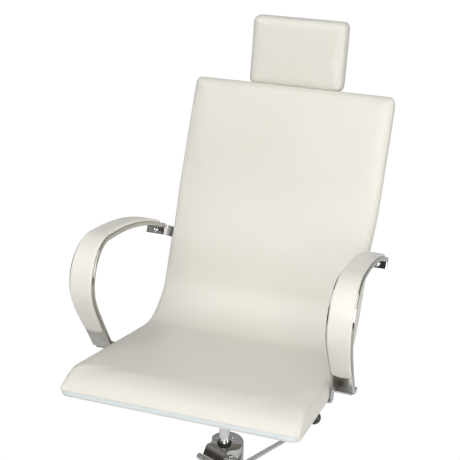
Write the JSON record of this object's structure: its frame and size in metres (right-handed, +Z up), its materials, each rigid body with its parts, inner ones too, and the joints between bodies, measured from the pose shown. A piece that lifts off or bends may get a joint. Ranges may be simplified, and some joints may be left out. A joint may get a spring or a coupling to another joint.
{
  "type": "styling chair",
  "caption": "Hydraulic salon styling chair: one-piece cream reclining seat and back, loop armrests, headrest, lift pump with foot lever and round base.",
  "frame": {"origin": "centre of the round base on the floor, on the pump's axis", "axes": "+Z up, the chair faces -Y, +X is the sitter's left"},
  "size_m": [0.6088, 0.9537, 1.1385],
  "materials": {
    "chrome": "polished chrome plate",
    "steel": "zinc-plated satin steel",
    "rubber": "matt black rubber",
    "black_plastic": "moulded black plastic",
    "plywood": "moulded plywood",
    "cream_vinyl": "smooth cream vinyl leather over foam",
    "arm_vinyl": "smooth light cream vinyl over foam",
    "panel_vinyl": "cream vinyl on board",
    "edge_strip": "pale extruded vinyl strip"
  },
  "bodies": {
    "base": {"base_plate": "steel", "base_rim_ring": "rubber", "base_cover": "chrome", "pump_flange": "steel", "pump_bolt_1": "steel", "pump_bolt_2": "steel", "pump_bolt_3": "steel", "pump_bolt_4": "steel", "pump_cylinder": "steel", "pump_shroud": "chrome", "pump_head": "chrome", "rod_gland": "rubber", "oil_fill_screw": "chrome"},
    "foot_lever": {"lever_shaft": "chrome", "foot_lever": "chrome", "pedal_tread": "rubber"},
    "plunger": {"pump_plunger": "steel"},
    "piston": {"piston": "steel"},
    "swivel": {"piston_rod": "chrome", "swivel_hub": "steel", "tilt_yoke": "steel", "tilt_pin": "chrome"},
    "lock_lever": {"lock_shaft": "chrome", "brake_cam": "steel", "lock_lever": "chrome", "lock_knob": "black_plastic"},
    "shell": {"tilt_frame": "steel", "pivot_bush_left": "black_plastic", "pivot_bush_right": "black_plastic", "brake_quadrant": "steel", "frame_screw_1": "steel", "frame_screw_2": "steel", "frame_screw_3": "steel", "frame_screw_4": "steel", "shell_board": "plywood", "shell_cushion": "cream_vinyl", "back_panel": "panel_vinyl", "front_edge_strip": "edge_strip", "arm_band_left": "chrome", "arm_band_right": "chrome", "arm_pad_left": "arm_vinyl", "arm_pad_right": "arm_vinyl", "arm_seat_bracket_left": "steel", "arm_seat_bracket_right": "steel", "arm_back_bracket_left": "steel", "arm_back_bracket_right": "steel", "arm_seat_bolt_left": "chrome", "arm_seat_bolt_right": "chrome", "arm_back_bolt_left": "chrome", "arm_back_bolt_right": "chrome", "headrest_socket": "black_plastic"},
    "headrest_bar": {"headrest_bar": "chrome", "headrest_pin": "chrome"},
    "headrest": {"headrest_pad": "cream_vinyl", "headrest_board": "plywood", "headrest_hinge": "steel"},
    "clamp_knob": {"headrest_clamp_knob": "black_plastic"}
  },
  "joints": [
    {"name": "seat_lift", "type": "slide", "parent": "base", "child": "piston", "axis": [0, 0, 1], "range_m": [-0.045, 0.085]},
    {"name": "chair_swivel", "type": "hinge", "parent": "piston", "child": "swivel", "pos_m": [0, 0, 0.3], "axis": [0, 0, 1], "continuous": true},
    {"name": "shell_recline", "type": "hinge", "parent": "swivel", "child": "shell", "pos_m": [0, 0, 0.395], "axis": [-1, 0, 0], "range_deg": [-13, 17]},
    {"name": "lock_lever_turn", "type": "hinge", "parent": "swivel", "child": "lock_lever", "pos_m": [0, -0.036, 0.385], "axis": [1, 0, 0], "range_deg": [0, 20], "stiffness_Nm_per_rad": 3, "springref_deg": -11.46},
    {"name": "foot_lever_stroke", "type": "hinge", "parent": "base", "child": "foot_lever", "pos_m": [-0.0168, -0.03958, 0.237], "axis": [-0.9205, 0.3907, 0], "range_deg": [0, 16], "stiffness_Nm_per_rad": 20, "springref_deg": -20.05},
    {"name": "plunger_stroke", "type": "slide", "parent": "base", "child": "plunger", "axis": [0, 0, -1], "range_m": [0, 0.012]},
    {"name": "headrest_height", "type": "slide", "parent": "shell", "child": "headrest_bar", "axis": [0, 0.5, 0.866], "range_m": [0, 0.08]},
    {"name": "headrest_tilt", "type": "hinge", "parent": "headrest_bar", "child": "headrest", "pos_m": [0, 0.61715, 1.04462], "axis": [-1, 0, 0], "range_deg": [0, 25]},
    {"name": "clamp_knob_turn", "type": "hinge", "parent": "shell", "child": "clamp_knob", "pos_m": [0, 0.52718, 0.88197], "axis": [0, 0.866, -0.5], "range_deg": [0, 180]}
  ],
  "couplings": [
    {"joint": "plunger_stroke", "follows": "foot_lever_stroke", "m_per_rad": 0.04}
  ]
}
